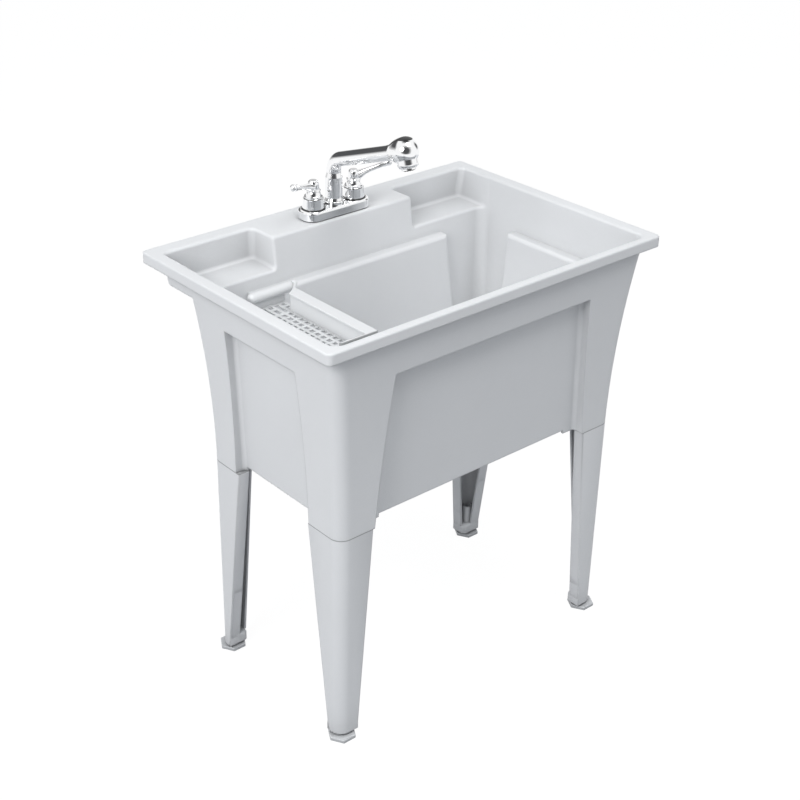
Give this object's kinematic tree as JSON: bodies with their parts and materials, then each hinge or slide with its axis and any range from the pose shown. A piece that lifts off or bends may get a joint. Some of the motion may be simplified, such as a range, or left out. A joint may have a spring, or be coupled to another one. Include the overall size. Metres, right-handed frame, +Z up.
{
  "type": "utility laundry sink",
  "caption": "Free-standing laundry sink on tapered legs, with soap shelves, a lift-out slotted tray, a strainer drain and a two-handle faucet with a pull-out spray head.",
  "frame": {"origin": "on the floor, under the middle of the rim", "axes": "+X to the user's right along the rim, +Y away from the user towards the faucet, +Z up"},
  "size_m": [0.813, 0.56, 1.0632],
  "materials": {
    "tub_plastic": "moulded, faintly speckled, satin",
    "tray_plastic": "moulded, satin",
    "foot_plastic": "moulded, satin",
    "rubber": "black, matt",
    "steel": "brushed",
    "white_plastic": "smooth",
    "brass": "machined",
    "black_plastic": "soft black",
    "hose_grey": "braided",
    "chrome": "polished chrome plate"
  },
  "bodies": {
    "sink": {"tub": "tub_plastic", "foot_locknuts": "steel", "leg_screws": "steel", "drain_body": "steel", "drain_seal": "rubber", "drain_washer": "rubber", "drain_locknut": "white_plastic", "tailpiece_washer": "rubber", "tailpiece": "white_plastic", "slip_nut": "white_plastic", "deck_gasket": "rubber", "faucet_base": "chrome", "faucet_waterway": "brass", "spout_rings": "rubber", "mounting_washers": "steel", "mounting_nuts": "brass", "spout_collar": "chrome", "leg_front_left": "tub_plastic", "leg_front_right": "tub_plastic", "leg_back_left": "tub_plastic", "leg_back_right": "tub_plastic", "cartridge_left": "brass", "bonnet_left": "chrome", "cartridge_right": "brass", "bonnet_right": "chrome"},
    "handle_left": {"handle_left": "chrome", "valve_stem_left": "brass", "handle_screw_left": "steel", "handle_cap_left": "chrome"},
    "handle_right": {"handle_right": "chrome", "valve_stem_right": "brass", "handle_screw_right": "steel", "handle_cap_right": "chrome"},
    "spout": {"spout": "chrome", "spout_grub_screw": "steel", "dock_sleeve": "black_plastic"},
    "spray_head": {"spray_head": "chrome", "spray_nozzle": "black_plastic", "spray_hose": "hose_grey"},
    "spray_button": {"spray_button": "black_plastic"},
    "drain_tray": {"drain_tray": "tray_plastic"},
    "strainer_basket": {"strainer_basket": "steel"},
    "foot_front_left": {"foot_front_left": "foot_plastic"},
    "foot_front_right": {"foot_front_right": "foot_plastic"},
    "foot_back_left": {"foot_back_left": "foot_plastic"},
    "foot_back_right": {"foot_back_right": "foot_plastic"}
  },
  "joints": [
    {"name": "handle_left_turn", "type": "hinge", "parent": "sink", "child": "handle_left", "pos_m": [-0.0508, 0.212, 0.913], "axis": [0, 0, 1], "range_deg": [0, 90]},
    {"name": "handle_right_turn", "type": "hinge", "parent": "sink", "child": "handle_right", "pos_m": [0.0508, 0.212, 0.913], "axis": [0, 0, 1], "range_deg": [-90, 0]},
    {"name": "spout_swivel", "type": "hinge", "parent": "sink", "child": "spout", "pos_m": [0, 0.212, 0.905], "axis": [0, 0, 1], "range_deg": [-90, 90]},
    {"name": "spray_pull_out", "type": "slide", "parent": "spout", "child": "spray_head", "axis": [0, -0.9449, 0.3272], "range_m": [0, 0.1]},
    {"name": "spray_button_press", "type": "slide", "parent": "spray_head", "child": "spray_button", "axis": [0, -0.3272, -0.9449], "range_m": [0, 0.002], "stiffness_N_per_m": 400, "springref_m": -0.001},
    {"name": "tray_lift", "type": "slide", "parent": "sink", "child": "drain_tray", "axis": [0, 0, 1], "range_m": [0, 0.15]},
    {"name": "basket_lift", "type": "slide", "parent": "sink", "child": "strainer_basket", "axis": [0, 0, 1], "range_m": [0, 0.1]},
    {"name": "foot_front_left_level", "type": "slide", "parent": "sink", "child": "foot_front_left", "axis": [0, 0, -1], "range_m": [0, 0.015]},
    {"name": "foot_front_right_level", "type": "slide", "parent": "sink", "child": "foot_front_right", "axis": [0, 0, -1], "range_m": [0, 0.015]},
    {"name": "foot_back_left_level", "type": "slide", "parent": "sink", "child": "foot_back_left", "axis": [0, 0, -1], "range_m": [0, 0.015]},
    {"name": "foot_back_right_level", "type": "slide", "parent": "sink", "child": "foot_back_right", "axis": [0, 0, -1], "range_m": [0, 0.015]}
  ]
}
